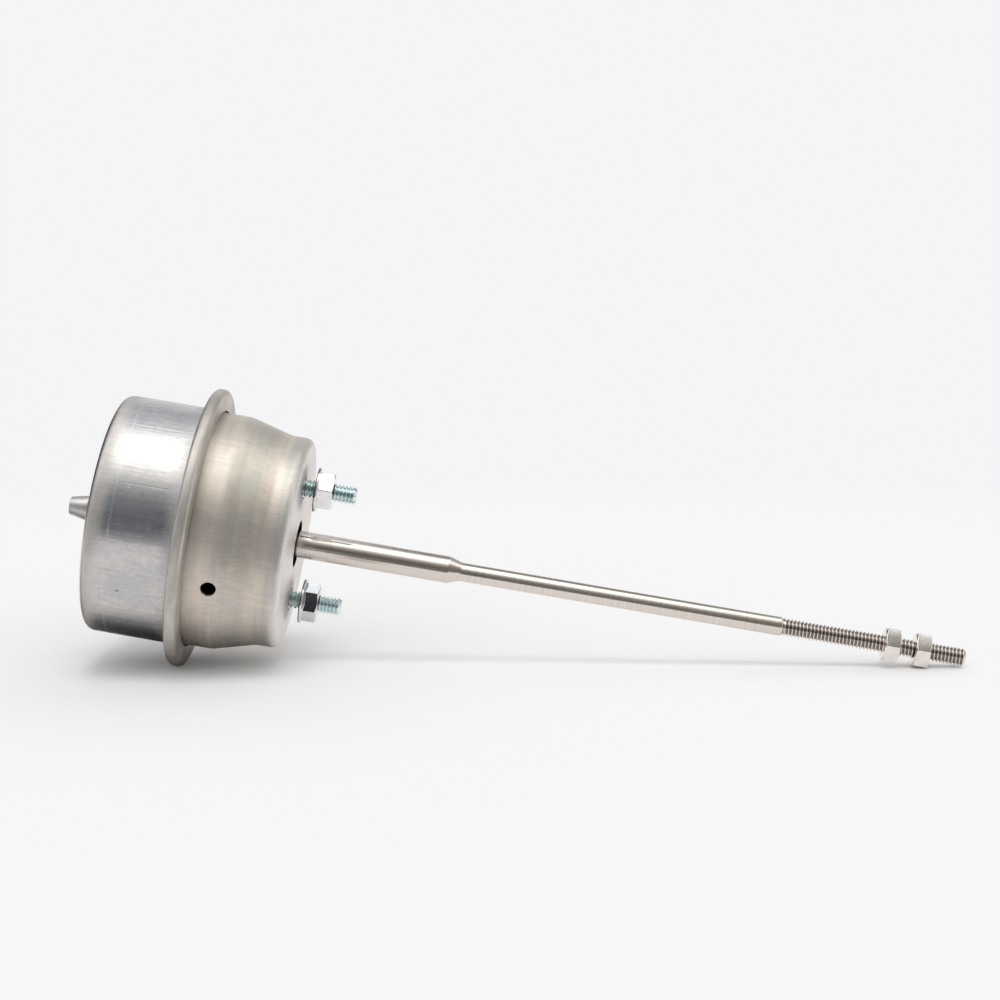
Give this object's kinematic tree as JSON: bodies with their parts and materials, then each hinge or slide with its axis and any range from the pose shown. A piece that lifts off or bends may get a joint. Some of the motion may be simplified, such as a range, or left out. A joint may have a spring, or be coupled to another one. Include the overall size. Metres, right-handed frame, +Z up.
{
  "type": "turbo actuator",
  "caption": "Pressure actuator for a turbocharger wastegate: a crimped two-part can with a spring-loaded piston that pushes a threaded rod.",
  "frame": {"origin": "on the rod's axis, in the plane of the can's mounting face", "axes": "+X along the rod, away from the can and in the direction of its push; +Z up as the part is drawn; -Y towards the side with the breather hole"},
  "size_m": [0.3134, 0.0968, 0.0969],
  "materials": {
    "rear_steel": "satin drawn steel, cool",
    "front_steel": "fine brushed, warm",
    "ring_steel": "satin",
    "rod_steel": "polished",
    "nut_plating": "bright nickel",
    "stud_plating": "bright zinc",
    "barb_metal": "turned",
    "inner_steel": "plain",
    "spring_steel": "oiled",
    "black_rubber": "matt",
    "diaphragm_rubber": "fabric-backed"
  },
  "bodies": {
    "canister": {"rear_can": "rear_steel", "front_can": "front_steel", "crimp_ring": "ring_steel", "stop_bumper": "black_rubber", "return_spring": "spring_steel", "spring_seat": "inner_steel", "preload_shim": "inner_steel", "stud_plate": "inner_steel", "stud_upper": "stud_plating", "stud_lower": "stud_plating", "stud_nut_upper": "stud_plating", "stud_nut_lower": "stud_plating", "hose_barb": "barb_metal", "barb_seal": "black_rubber", "barb_washer": "inner_steel"},
    "piston": {"piston": "inner_steel", "diaphragm": "diaphragm_rubber", "diaphragm_retainer": "inner_steel", "clamp_nut": "inner_steel", "rod_socket": "inner_steel"},
    "rod": {"actuator_rod": "rod_steel"},
    "nut_inner": {"rod_nut_inner": "nut_plating"},
    "nut_outer": {"rod_nut_outer": "nut_plating"}
  },
  "joints": [
    {"name": "rod_stroke", "type": "slide", "parent": "canister", "child": "piston", "axis": [1, 0, 0], "range_m": [0, 0.0127], "stiffness_N_per_m": 8000, "springref_m": -0.015, "deforming": ["return_spring", "diaphragm"]},
    {"name": "rod_swing", "type": "hinge", "parent": "piston", "child": "rod", "pos_m": [-0.0468, 0, 0], "axis": [0, 1, 0], "range_deg": [-3, 3]},
    {"name": "inner_nut_travel", "type": "slide", "parent": "rod", "child": "nut_inner", "axis": [1, 0, 0], "range_m": [-0.03, 0.002]},
    {"name": "outer_nut_travel", "type": "slide", "parent": "rod", "child": "nut_outer", "axis": [1, 0, 0], "range_m": [-0.0024, 0]}
  ]
}
